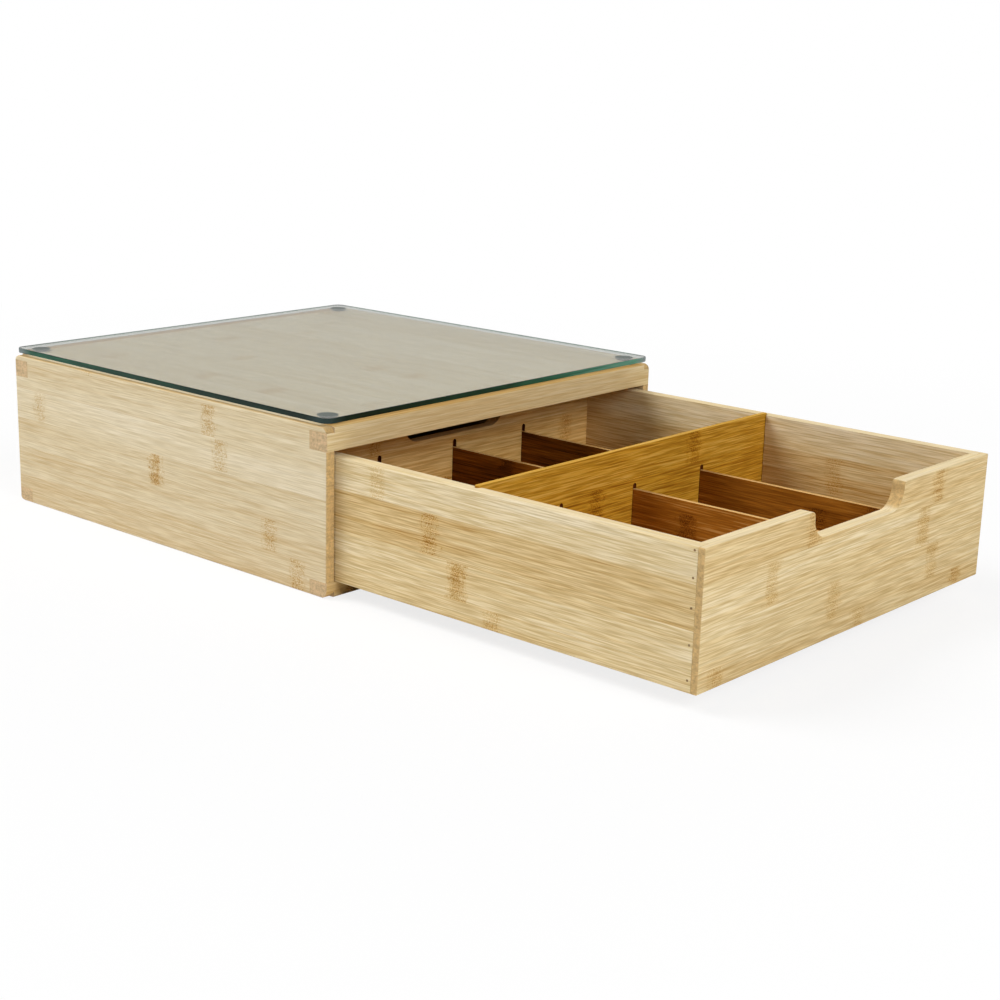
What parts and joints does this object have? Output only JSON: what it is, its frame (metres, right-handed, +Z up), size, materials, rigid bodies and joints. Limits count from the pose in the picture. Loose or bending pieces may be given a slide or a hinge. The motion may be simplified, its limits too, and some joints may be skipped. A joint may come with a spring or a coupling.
{
  "type": "coffee capsule drawer",
  "caption": "Flat bamboo case with a clear glass top on bumpers and a divided drawer that slides out of its front, for coffee capsules under a coffee machine.",
  "frame": {"origin": "centre of the case's footprint, on the table it stands on", "axes": "+Z up, the drawer opens toward -Y, +X to the right of someone facing the back from the drawer's side"},
  "size_m": [0.32, 0.593, 0.1123],
  "materials": {
    "bamboo": "light bamboo, sanded and clear oiled, glued up from strips",
    "rail_bamboo": "light bamboo rails with end grain showing at the corners",
    "honey_bamboo": "honey coloured bamboo, thin oil",
    "dark_bamboo": "carbonised bamboo, thin oil",
    "glass": "clear float glass with ground green edges",
    "disc": "grey adhesive discs",
    "bumper": "clear soft silicone",
    "steel": "small sunk nail heads"
  },
  "bodies": {
    "case": {"left_side_panel": "bamboo", "right_side_panel": "bamboo", "front_top_rail": "rail_bamboo", "rear_top_rail": "rail_bamboo", "front_bottom_rail": "rail_bamboo", "rear_bottom_rail": "rail_bamboo", "top_panel": "bamboo", "bottom_panel": "bamboo", "back_panel": "bamboo", "left_runner": "rail_bamboo", "right_runner": "rail_bamboo"},
    "glass": {"glass_plate": "glass", "glass_discs": "disc", "glass_bumpers": "bumper"},
    "drawer": {"drawer_front": "bamboo", "drawer_back": "bamboo", "drawer_left_side": "bamboo", "drawer_right_side": "bamboo", "drawer_floor": "honey_bamboo", "front_brads": "steel", "back_brads": "steel", "front_divider_centre": "dark_bamboo", "front_divider_right": "dark_bamboo", "back_divider_centre": "dark_bamboo", "back_divider_right": "dark_bamboo"},
    "middle_divider": {"middle_divider": "honey_bamboo"}
  },
  "joints": [
    {"name": "drawer_slide", "type": "slide", "parent": "case", "child": "drawer", "axis": [0, -1, 0], "range_m": [-0.268, 0.025]},
    {"name": "glass_lift", "type": "slide", "parent": "case", "child": "glass", "axis": [0, 0, 1], "range_m": [0, 0.06]},
    {"name": "middle_divider_lift", "type": "slide", "parent": "drawer", "child": "middle_divider", "axis": [0, 0, 1], "range_m": [0, 0.01]}
  ]
}
